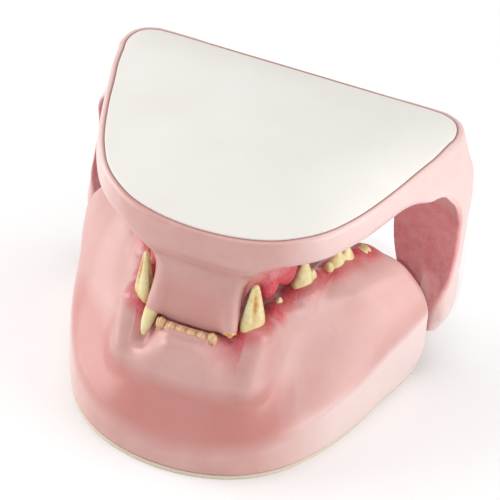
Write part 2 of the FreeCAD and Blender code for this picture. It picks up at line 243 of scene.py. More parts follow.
def levels(table, z, column):
    """A column of a table of levels at the heights z, along a smooth curve."""
    heights = np.array([row[0] for row in table])
    values = np.array([row[column] for row in table])
    fine = np.linspace(heights[0], heights[-1], 200)
    i = np.clip(np.searchsorted(heights, fine) - 1, 0, len(heights) - 2)
    slope = np.gradient(values, heights)
    span = heights[i + 1] - heights[i]
    t = (fine - heights[i]) / span
    curve = (values[i] * (1 + 2 * t) * (1 - t) ** 2 + values[i + 1] * t * t * (3 - 2 * t)
             + span * (slope[i] * t * (1 - t) ** 2 - slope[i + 1] * t * t * (1 - t)))
    return np.interp(z, fine, curve)


def smooth_curve(points, parts=8):
    """Points along a Catmull-Rom curve through the given ones."""
    p = np.array(points, float)
    p = np.vstack([2 * p[0] - p[1], p, 2 * p[-1] - p[-2]])
    t = np.linspace(0.0, 1.0, parts, endpoint=False)[:, None]
    runs = []
    for a, b, c, d in zip(p, p[1:], p[2:], p[3:]):
        runs.append(0.5 * (2 * b + (c - a) * t + (2 * a - 5 * b + 4 * c - d) * t ** 2
                           + (3 * b - a - 3 * c + d) * t ** 3))
    return np.vstack(runs + [p[-2:-1]])


def mirrored(points):
    return list(points) + [(-x, y) for x, y in reversed(points) if x > 0.0]


ANGLES = np.linspace(-math.pi, math.pi, 721)


def reach_of(points, centre):
    """Distance from the centre to a smooth outline, for each of ANGLES from the incisors."""
    x, y = (smooth_curve(mirrored(points)) - centre).T
    angle = np.arctan2(x, -y)
    order = np.argsort(angle)
    return np.interp(ANGLES, angle[order], np.hypot(x, y)[order])


def plan_gap(x, y, reach, centre):
    """Distance in plan from an outline that is given by its reach about the centre."""
    dx, dy = x - centre[0], y - centre[1]
    angle = np.arctan2(dx, -dy)
    square = 1.0 / np.hypot(1.0, np.gradient(reach, ANGLES) / reach)
    gap = np.hypot(dx, dy) - np.interp(angle, ANGLES, reach)
    return gap * np.interp(angle, ANGLES, square)


def radial(outline_reach, centre):
    """The shape whose outline at height z has the reach outline_reach(z) about the centre."""
    def shape(x, y, z):
        slices = [plan_gap(x[:, :, 0], y[:, :, 0], outline_reach(height), centre)
                  for height in z.ravel()]
        return np.stack(slices, axis=2).astype(np.float32)
    return shape


def nearest(place, start, along):
    """How far along a line the point nearest to a place is, as a share, and the gap to it."""
    offsets = [p - s for p, s in zip(place, start)]
    t = np.clip(sum(o * a for o, a in zip(offsets, along)) / (along @ along), 0.0, 1.0)
    return t, np.sqrt(sum((o - t * a) ** 2 for o, a in zip(offsets, along)))


def capsule(a, b, radius_a, radius_b):
    """A round bar from a to b whose radius changes evenly."""
    a, b = np.array(a, float), np.array(b, float)
    along = b - a

    def shape(x, y, z):
        t, gap = nearest((x, y, z), a, along)
        return gap - (radius_a + (radius_b - radius_a) * t)
    return shape


def oval(offsets, radii):
    """About the distance from an ellipse or ellipsoid, from the offsets along its axes."""
    k = np.sqrt(sum((u / r) ** 2 for u, r in zip(offsets, radii)))
    steep = np.sqrt(sum((u / r ** 2) ** 2 for u, r in zip(offsets, radii)))
    return k * (k - 1.0) / np.maximum(steep, 1e-3)


def ellipsoid(centre, radii, turn=0.0):
    """An ellipsoid turned about Z by an angle in degrees."""
    c, s = math.cos(math.radians(turn)), math.sin(math.radians(turn))

    def shape(x, y, z):
        dx, dy = x - centre[0], y - centre[1]
        return oval((c * dx + s * dy, c * dy - s * dx, z - centre[2]), radii)
    return shape


def flat_box(dx, dy, corner):
    """Distance in plan to a rounded box, from how far outside its sides a point is."""
    ax, ay = dx + corner, dy + corner
    outside = np.hypot(np.maximum(ax, 0.0), np.maximum(ay, 0.0))
    return outside + np.minimum(np.maximum(ax, ay), 0.0) - corner


def around(low, high, margin):
    return [a - margin for a in low], [b + margin for b in high]


def bar_box(a, b, margin):
    return around(np.minimum(a, b), np.maximum(a, b), margin)


# ---- meshes from fields

def sample(values, index):
    """Values at fractional grid positions, by trilinear interpolation."""
    top = np.array(values.shape) - 2
    base = np.clip(np.floor(index).astype(int), 0, top)
    t = index - base
    total = np.zeros(len(index))
    for corner in np.ndindex(2, 2, 2):
        weight = np.prod(np.where(corner, t, 1.0 - t), axis=1)
        total += weight * values[tuple((base + corner).T)]
    return total


def surface_points(field, cells):
    """One point for each cell: the middle of where the surface crosses its edges."""
    total, hits = np.zeros((len(cells), 3)), np.zeros(len(cells))
    for axis in range(3):
        along = np.eye(3, dtype=int)[axis]
        for corner in np.ndindex(2, 2, 2):
            if corner[axis]:
                continue
            start = cells + corner
            a = field.value[tuple(start.T)].astype(float)
            b = field.value[tuple((start + along).T)].astype(float)
            crossed = (a < 0) != (b < 0)
            t = np.where(crossed, a / np.where(crossed, a - b, 1.0), 0.0)
            total += crossed[:, None] * (np.array(corner) + t[:, None] * along)
            hits += crossed
    return cells + total / hits[:, None]


def surface_net(field, rounds=2):
    """Vertices in millimetres and quads of a field's zero surface."""
    inside = field.value < 0
    count = np.zeros(np.array(inside.shape) - 1, np.int8)
    for i, j, k in np.ndindex(2, 2, 2):
        nx, ny, nz = count.shape
        count += inside[i:i + nx, j:j + ny, k:k + nz]
    active = (count > 0) & (count < 8)
    cells = np.argwhere(active)
    number = np.full(active.shape, -1, np.int64)
    number[tuple(cells.T)] = np.arange(len(cells))
    points = surface_points(field, cells)

    quads = []
    for axis in range(3):
        u, v = np.eye(3, dtype=int)[[(axis + 1) % 3, (axis + 2) % 3]]
        first, second = [slice(None)] * 3, [slice(None)] * 3
        first[axis], second[axis] = slice(0, -1), slice(1, None)
        rising = inside[tuple(first)].astype(np.int8) - inside[tuple(second)]
        for sign in (1, -1):
            edges = np.argwhere(rising == sign)
            ring = (edges - u - v, edges - v, edges, edges - u)
            quad = np.stack([number[tuple(c.T)] for c in ring], axis=1)
            quads.append(quad if sign > 0 else quad[:, ::-1])

    slopes = np.gradient(field.value, field.step)
    for _ in range(rounds):
        value = sample(field.value, points)
        slope = np.stack([sample(s, points) for s in slopes], axis=1)
        size = np.maximum((slope ** 2).sum(axis=1), 0.25)
        move = (value / size)[:, None] * slope / field.step
        points -= np.clip(move, -0.5, 0.5)
    return field.low + points * field.step, np.vstack(quads).tolist()


def add_object(name, data):
    obj = bpy.data.objects.new(name, data)
    bpy.context.scene.collection.objects.link(obj)
    return obj


def mesh_object(name, points, faces):
    """A smooth mesh from points in millimetres, with Y counted from the plate's rear edge."""
    mesh = bpy.data.meshes.new(name)
    placed = (np.asarray(points, float) + (0.0, REAR_Y, 0.0)) * MM
    mesh.from_pydata(placed.tolist(), [], faces)
    mesh.polygons.foreach_set("use_smooth", np.ones(len(mesh.polygons), bool))
    mesh.update()
    return add_object(name, mesh)


def paint(obj, name, values):
    """Stores one number for each vertex for the materials to read."""
    attribute = obj.data.attributes.new(name, "FLOAT", "POINT")
    attribute.data.foreach_set("value", np.asarray(values, np.float32))


def place(obj, body, slot, material, *nodes):
    obj.data.materials.append(material)
    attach(obj, body)
    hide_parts(*nodes)
    return obj


# ---- gum bodies

def tooth_site(jaw, side, name, spec):
    """Where a tooth stands: its centre in plan, gum level, size and turn."""
    low, high = box_mm("%s_%s_%s" % (jaw, side, name))
    length, width, turn, gum_z = spec
    x, y = 0.5 * (low[0] + high[0]), 0.5 * (low[1] + high[1]) - REAR_Y
    up, height = (1, high[2] - gum_z) if jaw == "maxilla" else (-1, gum_z - low[2])
    return {"jaw": jaw, "side": side, "name": name, "x": x, "y": y, "gum_z": gum_z, "up": up,
            "length": length, "width": width, "height": height,
            "turn": turn if side == "right" else -turn}


def tooth_sites(jaw, table):
    return [tooth_site(jaw, side, name, spec)
            for side in ("right", "left") for name, spec in table.items()]


MAXILLA_SITES = tooth_sites("maxilla", MAXILLA_TEETH)
MANDIBLE_SITES = tooth_sites("mandible", MANDIBLE_TEETH)


def local_plan(site, x, y):
    """Coordinates along and across a tooth."""
    turn = math.radians(site["turn"])
    dx, dy = x - site["x"], y - site["y"]
    return math.cos(turn) * dy - math.sin(turn) * dx, math.cos(turn) * dx + math.sin(turn) * dy


def oval_gap(site, x, y):
    """Distance in plan from a tooth's oval neck."""
    return oval(local_plan(site, x, y), (0.5 * site["length"], 0.5 * site["width"]))


def collar(site):
    """The rolled gum margin round an incisor."""
    thickness, rise = 0.5, 0.3

    def shape(x, y, z):
        flat = oval_gap(site, x, y) - 0.35 * thickness
        return np.hypot(flat, (z - site["gum_z"]) * site["up"] - rise) - thickness
    return shape


# how high the gum swells round an upper tooth, by name or else as usual, and a lower one
MOUND_RISE = {"premolar_3": 1.5, "canine": 0.7}
USUAL_RISE, LOWER_RISE = 0.9, 0.8


def mound(site):
    """A low swelling of gum round a cheek tooth or a canine."""
    half_height, border = 1.7, 1.7
    rise = MOUND_RISE.get(site["name"], USUAL_RISE) if site["up"] > 0 else LOWER_RISE
    centre = (site["x"], site["y"], site["gum_z"] + site["up"] * (rise - half_height))
    radii = (0.5 * site["width"] + border, 0.5 * site["length"] + border, half_height)
    return ellipsoid(centre, radii, site["turn"])


def add_collars(field, sites):
    for site in sites:
        reach = 0.5 * site["length"] + 5.0
        centre = np.array((site["x"], site["y"], site["gum_z"]))
        low, high = around(centre, centre, reach)
        if "incisor" in site["name"]:
            field.join(collar(site), low, high, 0.9)
        else:
            field.join(mound(site), low, high, 1.6)


BASE_REACH = reach_of(BASE_OUTLINE, MAXILLA_CENTRE)
CREST_REACH = reach_of(CREST_OUTLINE, MAXILLA_CENTRE)
# how far round from the incisors to the rear face each angle is
ROUND = np.clip(np.abs(ANGLES) / math.radians(81.0), 0.0, 1.0)
WALL_TOP = 7.4 + 11.6 * ROUND ** 1.2
WALL_SWELL = 0.3 + 2.0 * ROUND ** 2
SLOPE_SAG = 0.42 - 0.62 * np.sin(0.5 * math.pi * ROUND) ** 1.5
EDGE_SOFTNESS = 0.12 - 0.07 * ROUND


def maxilla_reach(z):
    """An upright wall, a rounded edge that rises to the rear, and a slope up to the crest."""
    t = (z - WALL_TOP) / (CREST_Z - WALL_TOP)
    t = 0.5 * (t + np.hypot(t, EDGE_SOFTNESS))
    share = t + SLOPE_SAG * np.sin(math.pi * np.clip(t, 0.0, 1.0))
    swell = WALL_SWELL * math.sin(0.5 * math.pi * min(z / 11.0, 1.0))
    return BASE_REACH + swell + (CREST_REACH - BASE_REACH) * share


def palate(x, y, z):
    """The hollow of the palate with its cross ridges."""
    def vault_reach(height):
        t = min(max((height - VAULT_FLOOR_Z) / (CREST_Z - VAULT_FLOOR_Z), 0.0), 1.3)
        points = []
        for floor, top in zip(VAULT_FLOOR, VAULT_TOP):
            points.append((floor[0] + (top[0] - floor[0]) * t ** 0.8,
                           floor[1] + (top[1] - floor[1]) * t ** 0.8))
        return reach_of(points, MAXILLA_CENTRE)

    side = radial(vault_reach, MAXILLA_CENTRE)(x, y, z)
    ridge_pitch, ridge_height, ridge_end_y = 4.6, 0.55, -26.0
    seam_half, seam_depth, rim_rise = 0.5, 0.35, 0.8
    half = np.interp(-y, [8.0, 30.0, 58.0], [16.0, 13.0, 6.0])
    across = fade(np.abs(x), half)
    ridge = np.cos(2 * math.pi * (y + 0.10 * x * x / half) / ridge_pitch)
    ridge = np.maximum(ridge, 0.0) ** 2 * fade(3.2 * across, 1.0) * (1.0 - across ** 4)
    ridge = ridge_height * ridge * fade(ridge_end_y - y, 6.0)
    seam = seam_depth * np.exp(-(x / seam_half) ** 2)
    floor = VAULT_FLOOR_Z + rim_rise * across ** 2 + ridge - seam
    return soft_max(side, floor - z, 2.6)


def add_bulges(field, bulges):
    for centre, radii in bulges:
        low, high = around(centre, centre, max(radii) + 4.0)
        field.join(ellipsoid(centre, radii), low, high, 1.6, pair=True)


def snout(x, y, z):
    """The block of gum in front under the incisors."""
    half, depth, height, corner = 9.8, 4.2, 6.2, 4.2
    middle_y, middle_z = -59.8, 24.6
    plan = flat_box(np.abs(x) - half, np.abs(y - middle_y) - depth, corner)
    return soft_max(plan, np.abs(z - middle_z) - height, 5.0)


def shelf(x, y, z):
    """The step that the upper incisors stand on, open to the front."""
    middle, depth = 0.5 * (SHELF_BACK_Y + SHELF_FRONT_Y), 0.5 * (SHELF_BACK_Y - SHELF_FRONT_Y)
    plan = flat_box(np.abs(x) - SHELF_HALF, np.abs(y - middle) - depth, 1.0)
    return soft_max(plan, SHELF_Z - z, 1.0)


def lug(x, y, z):
    """The two tabs at the rear that hold the hinge rod."""
    run = np.clip(y, -24.0, HINGE_Y)
    side = np.abs(np.abs(x) - 0.5 * (LUG_FROM + LUG_TO)) - 0.5 * (LUG_TO - LUG_FROM)
    return soft_max(np.hypot(y - run, z - HINGE_Z) - LUG_R, side, 0.8)


def maxilla_field(step):
    field = Field((-44.0, -74.0, -0.5), (44.0, -4.0, 35.5), step)
    field.value = radial(maxilla_reach, MAXILLA_CENTRE)(*field.window(*EVERYWHERE)[1])
    field.even_out()
    field.limit(lambda x, y, z: CARD_TOP_Z - z, 0.8)
    field.limit(lambda x, y, z: z - CREST_Z, 2.4)
    field.limit(lambda x, y, z: y - MAXILLA_REAR_Y, 1.6)
    for crown, root, crown_r, root_r, blend in EMINENCES:
        reach = bar_box(crown, root, 9.0)
        field.join(capsule(crown, root, crown_r, root_r), *reach, blend, pair=True)
    field.join(snout, (-16, -70, 12), (16, -50, 34), 4.0)
    field.cut(shelf, (-15, -70, 23), (15, -46, 35.5), 2.6)
    field.cut(palate, (-30, -66, 20), (30, -4, 36), 1.8)
    field.join(lug, (LUG_FROM - 3, -26, HINGE_Z - 7), (LUG_TO + 3, -5, HINGE_Z + 7), 1.4, pair=True)
    add_bulges(field, MAXILLA_BULGES)
    add_collars(field, MAXILLA_SITES)
    for centre, radii in FALLS:
        field.cut(ellipsoid(centre, radii), *around(centre, centre, max(radii) + 5.0), 3.6)
    for foot, foot_r, head, head_r in GROOVES:
        field.cut(capsule(foot, head, foot_r, head_r), *bar_box(foot, head, 5.0), 2.0)
    return field


PLATE_REACH = reach_of(PLATE_OUTLINE, MANDIBLE_CENTRE)


def plate_plan(x, y):
    """Distance in plan from the white plate's outline."""
    return plan_gap(x, y, PLATE_REACH, MANDIBLE_CENTRE)


def slab(x, y, z):
    """The thick border under the white plate."""
    return plate_plan(x, y) - levels(SLAB_LEVELS, z, 1)


def chin(x, y, z):
    half, front, back = (levels(CHIN_LEVELS, z, i) for i in (1, 2, 3))
    side = flat_box(np.abs(x) - half, np.maximum(front - y, y - back), 3.0)
    side = soft_max(side, plate_plan(x, y) + levels(CHIN_INSET, z, 1), 2.0)
    corner = np.clip((np.abs(x) - 2.5) / 6.0, 0.0, 1.3) ** 2
    return soft_max(side, CHIN_Z + 1.8 * corner - z, 1.0)


def ridge(x, y, z):
    """The gum ridge of one side's lower cheek teeth."""
    curve = smooth_curve(RIDGE_LINE, 4)
    gap = np.full(np.broadcast_shapes(x.shape, y.shape), FAR)
    for a, b in zip(curve, curve[1:]):
        gap = np.minimum(gap, nearest((x, y), a, b - a)[1])
    flare = 0.16 * np.maximum(z - RIDGE_Z, 0.0)
    return soft_max(gap - RIDGE_HALF - flare, RIDGE_Z - z, 2.2)


def leg(x, y, z):
    """One ramus, a block round the rear corner that tapers to the hinge."""
    inner, front_x, back_x, front, back = (levels(LEG_LEVELS, z, i) for i in range(1, 6))
    outer = front_x + (back_x - front_x) * fade(y - front, back - front)
    side = np.maximum(inner - x, x - outer)
    body = flat_box(side, np.maximum(front - y, y - back), 2.2)
    body = soft_max(body, plate_plan(x, y) + levels(LEG_INSET, z, 1), 2.0)
    return soft_max(body, LEG_LEVELS[0][0] - z, 2.0)


def hollow(x, y, z):
    a, b = levels(HOLLOW_LEVELS, z, 1), levels(HOLLOW_LEVELS, z, 2)
    u, v = x - HOLLOW_CENTRE[0], y - HOLLOW_CENTRE[1]
    k = np.sqrt((u / a) ** 2 + (v / b) ** 2)
    return (k - 1.0) * np.minimum(a, b)


def hinge_boss(x, y, z):
    inner, outer, radius = 35.4, 41.4, 4.0
    side = np.maximum(inner - x, x - outer)
    return soft_max(np.hypot(y - HINGE_Y, z - HINGE_Z) - radius, side, 0.8)


def plate_pocket(x, y, z):
    """Where the white plate lies; the gum laps its border a little."""
    return np.maximum(plate_plan(x, y) + PLATE_LAP, PLATE_LOW_Z - z)


def mandible_field(step):
    field = Field((-44.5, -62.5, 6.0), (44.5, 4.0, 59.5), step)
    field.join(slab, (-44, -62, 44), (44, 4, 60), 0.0)
    field.even_out()
    field.limit(lambda x, y, z: SLAB_LOW_Z - z, 3.0)
    field.join(chin, (-22, -62, 27), (22, -38, 58), 4.5)
    sleeve = capsule(LOWER_CANINE_ROOT, LOWER_CANINE_NECK, 2.0, 1.6)
    field.join(sleeve, *bar_box(LOWER_CANINE_ROOT, LOWER_CANINE_NECK, 5.0), 1.8, pair=True)
    field.join(ridge, (4, -54, 34), (26, -11, 54), 4.0, pair=True)
    field.join(leg, (18, -34, 6), (44.5, 4, 58), 3.6, pair=True)
    field.cut(hollow, (10, -34, 6), (44, 0, 52), 0.9, pair=True)
    field.join(hinge_boss, (32, -18, 8), (44, -1, 24), 2.6, pair=True)
    field.limit(lambda x, y, z: z - RIM_Z, 1.0)
    field.cut(plate_pocket, (-45, -63, 54), (45, 5, 60), 0.5)
    add_bulges(field, MANDIBLE_BULGES)
    add_collars(field, MANDIBLE_SITES)
    return field


# ---- colours of the gums

def maxilla_angle(x, y):
    return np.arctan2(x - MAXILLA_CENTRE[0], MAXILLA_CENTRE[1] - y)


def redness(points, sites, bulges, bulge_reach, reach, inner_reach):
    """How inflamed the gum is: strong at the bulges and the tooth margins."""
    x, y, z = points.T
    total = np.zeros(len(points))
    for centre, _ in bulges:
        gap = np.sqrt((np.abs(x) - centre[0]) ** 2 + (y - centre[1]) ** 2 + (z - centre[2]) ** 2)
        total = np.maximum(total, 1.2 * np.exp(-(gap / bulge_reach) ** 4))
    for site in sites:
        if "incisor" in site["name"]:
            continue
        gap = np.maximum(oval_gap(site, x, y), 0.0)
        spread = np.where(x * np.sign(site["x"]) < abs(site["x"]), inner_reach, reach)
        total = np.maximum(total, np.exp(-(gap ** 2 + (z - site["gum_z"]) ** 2) / spread ** 2))
    return total


def in_hollow(x, y, z):
    """Near 1 on the faces inside the legs' hollows."""
    return fade(1.6 - np.abs(hollow(np.abs(x), y, z)), 1.0)


def leg_hollow_painted_shade(points):
    """Painted shade: the inside of each leg's hollow is painted red, most at the rear and low down,
    for the deep red shade in the concave hollow.
    """
    x, y, z = points.T
    return 0.62 * in_hollow(x, y, z) * np.maximum(fade(y + 26.0, 14.0), 0.25) * fade(50.0 - z, 12.0)


def basin_blush(points):
    """Painted shade: the dished slope in front is painted a deeper pink than the wall under it and
    the crest above, for the shade under the snout, reaching further round on the left; the side
    slopes get a little of it too.
    """
    x, y, z = points.T
    angle = maxilla_angle(x, y)
    edge = np.interp(angle, ANGLES, WALL_TOP)
    right_end, left_end, side_start = (math.radians(a) for a in (30.0, 62.0, 26.0))
    front_y, dish_top, slope_top = -30.0, 21.0, 30.0
    dish = fade(z - edge + 2.5, 4.0) * fade(dish_top - z, 4.0) * fade(front_y - y, 8.0)
    dish = 0.9 * dish * fade(right_end - angle, 0.10) * fade(left_end + angle, 0.35)
    slope = fade(z - edge, 2.0) * fade(slope_top - z, 3.0)
    return np.maximum(dish, 0.30 * slope * fade(np.abs(angle) - side_start, 0.2))


def flank_pale(points):
    """Painted light: the maxilla's side walls and rear face are painted paler than its front, for
    the side lamps' light on them.
    """
    x, y, z = points.T
    angle = np.abs(maxilla_angle(x, y))
    wall = fade(np.interp(angle, ANGLES, WALL_TOP) - z + 1.0, 2.0)
    side = np.maximum(fade(angle - math.radians(20.0), 0.35), fade(y - MAXILLA_REAR_Y + 6.0, 4.0))
    return (0.15 + 0.75 * wall) * side


def chin_blush(points):
    """Painted shade: the front of the chin, facing away from the lamps, is painted a deeper pink in
    its middle.
    """
    x, y, z = points.T
    half, top, back = 9.0, 43.0, -50.0
    down = fade(z - CHIN_Z - 0.6, 2.5) * fade(top - z, 5.0)
    return 0.55 * fade(half - np.abs(x), 3.0) * down * (y < back)


def leg_pale(points):
    """Painted light: the outer faces of the legs, their hollows and the rear half of the slab are
    painted paler, as if more light fell on them.
    """
    x, y, z = points.T
    slab_start, slab_low, outer_start = 17.0, 42.0, 37.0
    outer = fade(np.abs(x) - slab_start, 8.0) * fade(z - slab_low, 4.0)
    outer = np.maximum(outer, fade(np.abs(x) - outer_start, 2.5))
    return np.maximum(0.65 * outer, 0.9 * in_hollow(x, y, z))


def plate_seam(points):
    """A darker line where the gum meets the white plate."""
    x, y, z = points.T
    width = 0.45
    return fade(1.4 - np.abs(plate_plan(x, y)) / width, 1.0) * (z > RIM_Z - 1.0)


# ---- teeth

# height as a share of the crown, and the tooth's girth there
CROWN_PROFILE = [
    (-1.0, 0.76), (-0.12, 0.88), (0.0, 0.99), (0.12, 1.01), (0.32, 0.88), (0.55, 0.68),
    (0.75, 0.49), (0.90, 0.32), (0.97, 0.20), (1.0, 0.06),
]
MOLAR_PROFILE = [
    (-1.0, 0.74), (-0.15, 0.84), (0.0, 0.98), (0.25, 1.03), (0.60, 0.90), (0.85, 0.62),
    (0.96, 0.34), (1.0, 0.10),
]
# share of the way from a lower canine's neck to its tip, and its girth there
LOWER_CANINE_PROFILE = [
    (-0.6, 0.84), (-0.1, 1.0), (0.12, 1.06), (0.4, 1.0), (0.7, 0.80), (0.9, 0.52), (1.0, 0.30),
]
# cusps of each kind of tooth: place along the tooth, length, width and height as shares
CUSPS = {
    "canine": [(0.0, 1.0, 1.0, 1.0)],
    "premolar_2": [(0.0, 1.0, 1.0, 1.0)],
    "premolar_3": [(-0.04, 0.74, 1.0, 1.0), (0.33, 0.34, 0.8, 0.50), (-0.34, 0.30, 0.8, 0.36)],
    "premolar_4": [(-0.10, 0.46, 1.0, 1.0), (0.24, 0.50, 0.9, 0.72), (-0.38, 0.24, 0.8, 0.48)],
    "molar_1": [(-0.22, 0.52, 1.0, 0.95), (0.22, 0.52, 0.95, 1.0)],
}
INCISOR_TAN = 0.75
INCISOR_CUSPS = [(0.0, 0.50, 1.0, 1.0), (0.29, 0.44, 0.94, 0.82), (-0.29, 0.44, 0.94, 0.86)]


def cusp(u, v, w, half_length, half_width, height, profile):
    girth = levels(profile, np.clip(w / height, -1.0, 1.0), 1)
    a, b = half_length * girth, half_width * girth
    k = np.sqrt((u / a) ** 2 + (v / b) ** 2)
    return soft_max((k - 1.0) * np.minimum(a, b), w - height, 0.12 * height)


def tooth_mesh(site, step):
    """Points in the tooth's own place, quads, and how high and how deep in a groove each is."""
    length, width, height = site["length"], site["width"], site["height"]
    root = min(3.0, 0.9 * height + 0.8)
    margin = 0.6
    field = Field((-0.5 * width - margin, -0.5 * length - margin, -root - margin),
                  (0.5 * width + margin, 0.5 * length + margin, height + margin), step)
    v, u, w = field.window(*EVERYWHERE)[1]
    name = site["name"]
    cusps = INCISOR_CUSPS if "incisor" in name else CUSPS[name]
    profile = MOLAR_PROFILE if name == "molar_1" or "incisor" in name else CROWN_PROFILE
    for place_share, long_share, wide_share, high_share in cusps:
        tip = high_share * height
        field.value = soft_min(field.value, cusp(
            u - place_share * length, v, w, 0.5 * long_share * length,
            0.5 * wide_share * width, tip, profile), 0.16 * width).astype(np.float32)
    field.even_out()
    groove = np.zeros(field.value.shape)
    if name == "canine":
        angle = np.arctan2(v / width, -u / length)
        for centre, spread in ((math.radians(58.0), 0.24), (math.radians(-45.0), 0.24)):
            depth = np.exp(-((angle - centre) / spread) ** 2)
            ends = fade(w - 0.5, 3.0) * fade(0.95 * height - w, 3.0)
            groove = np.maximum(groove, depth * ends)
        field.value += (0.20 * groove).astype(np.float32)
        patch = np.exp(-((angle - math.radians(70.0)) / 0.40) ** 2)
        groove = 1.2 * patch * np.exp(-((w / height - 0.64) / 0.26) ** 2) + 0.35 * groove
    ripple = 0.035 * np.sin(2.1 * w + 3.0 * u / width) * np.cos(1.7 * w - 2.0 * v)
    field.value += ripple.astype(np.float32)
    field.limit(lambda x, y, z: -root - z, 0.3)
    points, quads = surface_net(field)
    depth = sample(groove, (points - field.low) / step)
    return points, quads, np.clip(points[:, 2] / height, 0.0, 1.0), depth


def stand(site, points, quads):
    """Turns a tooth's mesh to its place in the jaw."""
    right = 1 if site["side"] == "right" else -1
    v, u, w = (points * (right, 1, site["up"])).T
    turn = math.radians(site["turn"])
    x = site["x"] + math.cos(turn) * v - math.sin(turn) * u
    y = site["y"] + math.sin(turn) * v + math.cos(turn) * u
    placed = np.stack([x, y, site["gum_z"] + w], axis=1)
    return placed, quads if right == site["up"] else [quad[::-1] for quad in quads]


def make_tooth(site, material):
    step = 0.12 if max(site["length"], site["height"]) > 3.0 else 0.08
    points, quads, height, groove = tooth_mesh(site, step)
    placed, quads = stand(site, points, quads)
    node = "%s_%s_%s" % (site["jaw"], site["side"], site["name"])
    obj = mesh_object(node + "_shaped", placed, quads)
    paint(obj, "crown_height", height)
    paint(obj, "groove", groove)
    paint(obj, "tan", np.full(len(points), INCISOR_TAN if "incisor" in node else 0.0))
    return place(obj, site["jaw"], "tooth_resin", material, node)


def lower_canine(node, sign, crown_share, material):
    """A mandibular canine, which leans outwards and forwards as it comes down, or its stub."""
    root, neck, tip = (np.array(p) * (sign, 1, 1)
                       for p in (LOWER_CANINE_ROOT, LOWER_CANINE_NECK, LOWER_CANINE_TIP))
    low, high = bar_box(np.minimum(root, tip), np.maximum(root, tip), 2.0)
    field = Field(low, high, 0.12)
    x, y, z = field.window(*EVERYWHERE)[1]
    axis = tip - neck
    length = np.linalg.norm(axis)
    share = ((x - neck[0]) * axis[0] + (y - neck[1]) * axis[1] + (z - neck[2]) * axis[2])
    share = share / length ** 2
    root_share = LOWER_CANINE_PROFILE[0][0]
    bow = 0.5 * fade(share, 1.0) * (1.0 - fade(share, 1.0))
    centre = [neck[i] + share * axis[i] for i in range(3)]
    gap = np.sqrt((x - centre[0] - sign * bow) ** 2 + (y - centre[1]) ** 2
                  + (z - centre[2]) ** 2)
    girth = LOWER_CANINE_R * levels(LOWER_CANINE_PROFILE, np.clip(share, root_share, 1.0), 1)
    field.value = soft_max(gap - girth, (share - 1.0) * length, 0.4).astype(np.float32)
    field.value = np.maximum(field.value, (root_share - share) * length).astype(np.float32)
    if crown_share < 1.0:
        face = (share - crown_share) * length
        face = face + 0.22 * np.sin(3.1 * x + 1.0) + 0.16 * np.sin(4.3 * y + 2.0)
        field.value = soft_max(field.value, face, 0.15).astype(np.float32)
    field.even_out()
    points, quads = surface_net(field)
    obj = mesh_object(node + "_shaped", points, quads)
    along = (points - neck) @ axis / length ** 2
    paint(obj, "crown_height", fade(along, 1.0))
    # Painted shade: the stub's face gets the whole groove mark and so is painted brown, for the
    # shade where it stands.
    paint(obj, "groove", fade(8.0 * along, 1.0) if crown_share < 1.0 else 0.0 * along)
    paint(obj, "tan", 0.0 * along)
    return place(obj, "mandible", "tooth_resin", material, node)


# ---- flat and turned pieces

def sheet_piece(name, outline, low_z, high_z, bevel):
    """A flat plate with rounded edges; its outline runs clockwise as seen from above."""
    ring = np.asarray(outline)
    rings = [(low_z, -bevel), (low_z + 0.3 * bevel, -0.3 * bevel), (low_z + bevel, 0.0),
             (high_z - bevel, 0.0), (high_z - 0.3 * bevel, -0.3 * bevel), (high_z, -bevel)]
    after, before = np.roll(ring, -1, axis=0), np.roll(ring, 1, axis=0)
    along = after - before
    outward = np.stack([-along[:, 1], along[:, 0]], axis=1)
    outward /= np.linalg.norm(outward, axis=1)[:, None]
    points, faces, n = [], [], len(ring)
    for z, grow in rings:
        points += [(x, y, z) for x, y in ring + outward * grow]
    for level in range(len(rings) - 1):
        for i in range(n):
            j = (i + 1) % n
            faces.append((level * n + n + i, level * n + n + j, level * n + j, level * n + i))
    faces.append(list(range(n)))
    faces.append(list(range((len(rings) - 1) * n, len(rings) * n))[::-1])
    return mesh_object(name, points, faces)


def card_outline():
    """The base card's closed outline, a little inside the maxilla's, straight at the rear."""
    inset, half, depth = 0.15, BASE_OUTLINE[0][0], MAXILLA_REAR_Y - BASE_OUTLINE[-1][1]
    curve = smooth_curve(mirrored(BASE_OUTLINE))
    return [(x * (1.0 - inset / half),
             MAXILLA_REAR_Y + (y - MAXILLA_REAR_Y) * (1.0 - inset / depth)) for x, y in curve]


def turned_piece(name, profile, low_x, sign=1.0, sides=48):
    """A piece turned about the hinge axis: profile is distance along X from low_x, radius."""
    points, faces = [], []
    for along, radius in profile:
        for i in range(sides):
            angle = 2 * math.pi * i / sides
            points.append((low_x + sign * along, HINGE_Y + radius * math.cos(angle),
                           HINGE_Z + radius * math.sin(angle)))
    for level in range(len(profile) - 1):
        for i in range(sides):
            j = (i + 1) % sides
            quad = (level * sides + i, level * sides + j,
                    (level + 1) * sides + j, (level + 1) * sides + i)
            faces.append(quad[::-1] if sign > 0 else quad)
    first, last = list(range(sides)), list(range((len(profile) - 1) * sides, len(profile) * sides))
    if profile[0] != profile[-1]:
        faces.append(first if sign > 0 else first[::-1])
        faces.append(last[::-1] if sign > 0 else last)
    return mesh_object(name, points, faces)


# ---- materials

